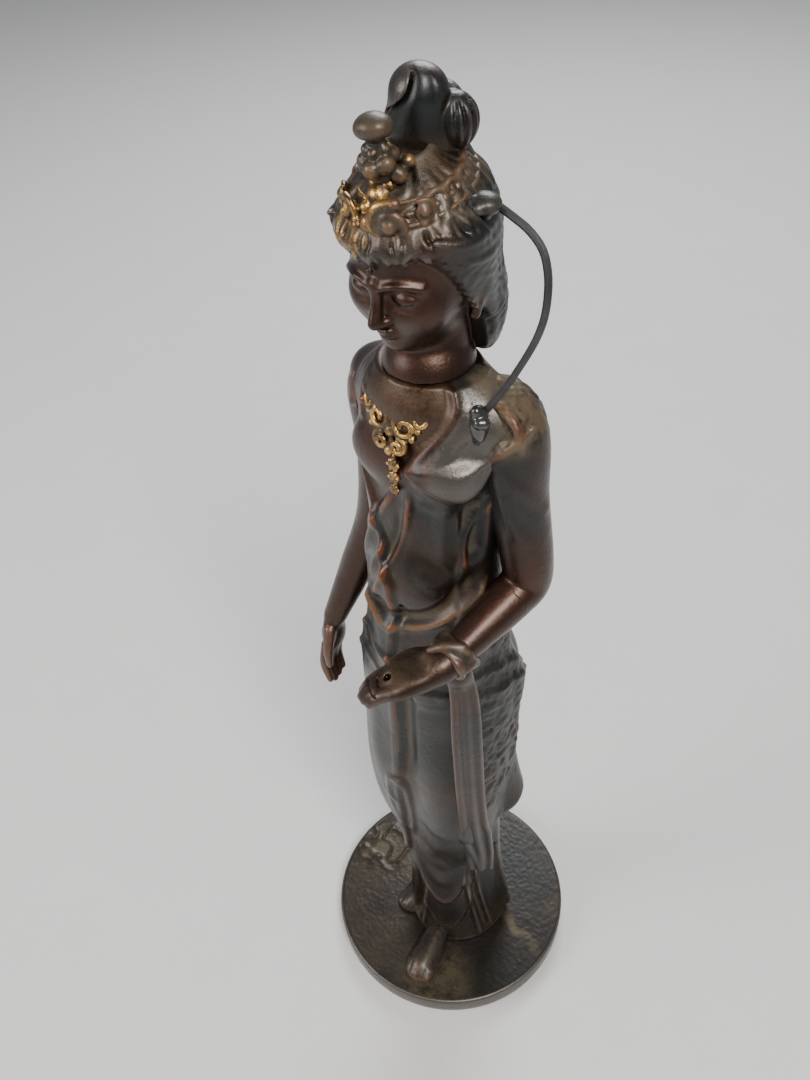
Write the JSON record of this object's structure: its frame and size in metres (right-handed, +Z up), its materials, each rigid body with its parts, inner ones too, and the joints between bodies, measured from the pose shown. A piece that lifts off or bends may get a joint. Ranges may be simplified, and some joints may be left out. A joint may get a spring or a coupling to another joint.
{
  "type": "standing statuette",
  "caption": "Standing robed bronze statuette on a plain round base, with a gilt crown, a necklace, one palm-up hand and a wire loop between its hair and its left shoulder.",
  "frame": {"origin": "centre of the base's underside", "axes": "+Z up, -Y the way the figure faces, +X towards the figure's own left"},
  "size_m": [0.088, 0.088, 0.3203],
  "materials": {
    "skin_bronze": "dark reddish-brown satin patina",
    "robe_bronze": "gunmetal patina with worn red-brown fold ridges and ochre dust in the recesses",
    "hair_bronze": "blue-black patina, worn on the strands",
    "base_bronze": "dark brown stippled top, polished side wall",
    "gilt": "worn gilding over brown bronze",
    "steel": "plain zinc-grey steel",
    "black_sheath": "dull black insulation",
    "copper": "bare copper",
    "black_cement": "glossy black resin"
  },
  "bodies": {
    "root": {"base_disc": "base_bronze", "base_stud": "steel", "base_washer": "steel", "base_nut": "steel", "robed_body": "robe_bronze", "foot_left": "skin_bronze", "foot_right": "skin_bronze", "head": "skin_bronze", "topknot": "hair_bronze", "topknot_dowel": "steel", "crown_band": "gilt", "crown_front": "gilt", "crown_boss_left": "gilt", "crown_boss_right": "gilt", "crown_finial": "gilt", "arm_right": "skin_bronze", "arm_left_upper": "skin_bronze", "forearm_left": "skin_bronze", "arm_right_dowel": "steel", "arm_left_dowel": "steel", "forearm_dowel": "steel", "bracelet_left": "gilt", "scarf_left": "robe_bronze", "wire_sheath": "black_sheath", "wire_core": "copper", "wire_anchor_lower": "black_cement", "wire_anchor_upper": "hair_bronze", "necklace_plate": "gilt", "pendant_bead_1": "gilt", "pendant_bead_2": "gilt", "pendant_bead_3": "gilt"}
  },
  "joints": []
}
